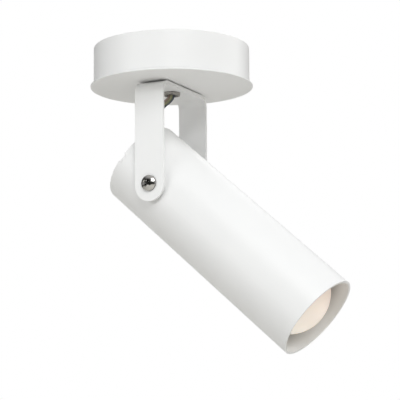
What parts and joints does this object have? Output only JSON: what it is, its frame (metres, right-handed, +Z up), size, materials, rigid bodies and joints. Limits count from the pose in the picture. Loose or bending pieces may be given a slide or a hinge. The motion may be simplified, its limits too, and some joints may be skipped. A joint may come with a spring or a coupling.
{
  "type": "ceiling spotlight",
  "caption": "Ceiling spotlight: round canopy, U-shaped strap that swivels under it, and a white tube-shaped head with a domed lamp that tilts between the legs.",
  "frame": {"origin": "middle of the canopy on the ceiling plane, midway between the mounting bar's two slots", "axes": "+Z up into the ceiling and along the swivel axis; the two pivots lie along Y; at rest the lamp points to +X and down"},
  "size_m": [0.1599, 0.1, 0.1878],
  "materials": {
    "white_coat": "satin white powder coat on steel",
    "steel": "zinc-plated steel",
    "dark_zinc": "dull plated steel",
    "chrome": "bright nickel or chrome plate",
    "brass": "plain brass",
    "ceramic": "off-white ceramic or moulding",
    "lamp_shell": "matte white moulding",
    "frosted_cover": "frosted, warm white, unlit",
    "black_rubber": "black rubber",
    "core_live": "brown insulation",
    "core_neutral": "blue insulation",
    "core_earth": "green and yellow insulation"
  },
  "bodies": {
    "canopy": {"mounting_bar": "steel", "canopy_wall": "white_coat", "canopy_face": "white_coat", "nipple": "dark_zinc", "lock_nut_upper": "dark_zinc", "lock_nut_lower": "dark_zinc", "spacer_washer": "dark_zinc", "strap_nut": "dark_zinc", "bar_earth_screw": "brass", "terminal_block": "ceramic", "terminal_screw_1": "brass", "terminal_screw_2": "brass", "terminal_screw_3": "brass", "terminal_screw_4": "brass", "terminal_screw_5": "brass", "terminal_screw_6": "brass", "block_screw_1": "steel", "block_screw_2": "steel", "canopy_core_live": "core_live", "canopy_core_neutral": "core_neutral", "canopy_core_earth": "core_earth"},
    "yoke": {"strap": "white_coat", "lead_core_live": "core_live", "lead_core_neutral": "core_neutral", "lead_core_earth": "core_earth"},
    "head": {"tube": "white_coat", "rear_cap": "white_coat", "lead_grommet": "black_rubber", "pivot_screw_right": "chrome", "pivot_screw_left": "chrome", "pivot_washer_right": "steel", "pivot_washer_left": "steel", "pivot_nut_right": "steel", "pivot_nut_left": "steel", "holder_bracket": "steel", "bracket_earth_screw": "brass", "lamp_holder": "ceramic", "holder_screw_right": "steel", "holder_screw_left": "steel", "lamp_base": "ceramic", "lamp_pin_1": "steel", "lamp_pin_2": "steel", "lamp_cone": "lamp_shell", "lamp_dome": "frosted_cover", "head_core_live": "core_live", "head_core_neutral": "core_neutral", "head_core_earth": "core_earth"}
  },
  "joints": [
    {"name": "swivel", "type": "hinge", "parent": "canopy", "child": "yoke", "pos_m": [0, 0, 0], "axis": [0, 0, 1], "range_deg": [-175, 175]},
    {"name": "tilt", "type": "hinge", "parent": "yoke", "child": "head", "pos_m": [0, 0, -0.0873], "axis": [0, 1, 0], "range_deg": [-41, 139], "deforming": ["lead_core_live", "lead_core_neutral", "lead_core_earth"]}
  ]
}
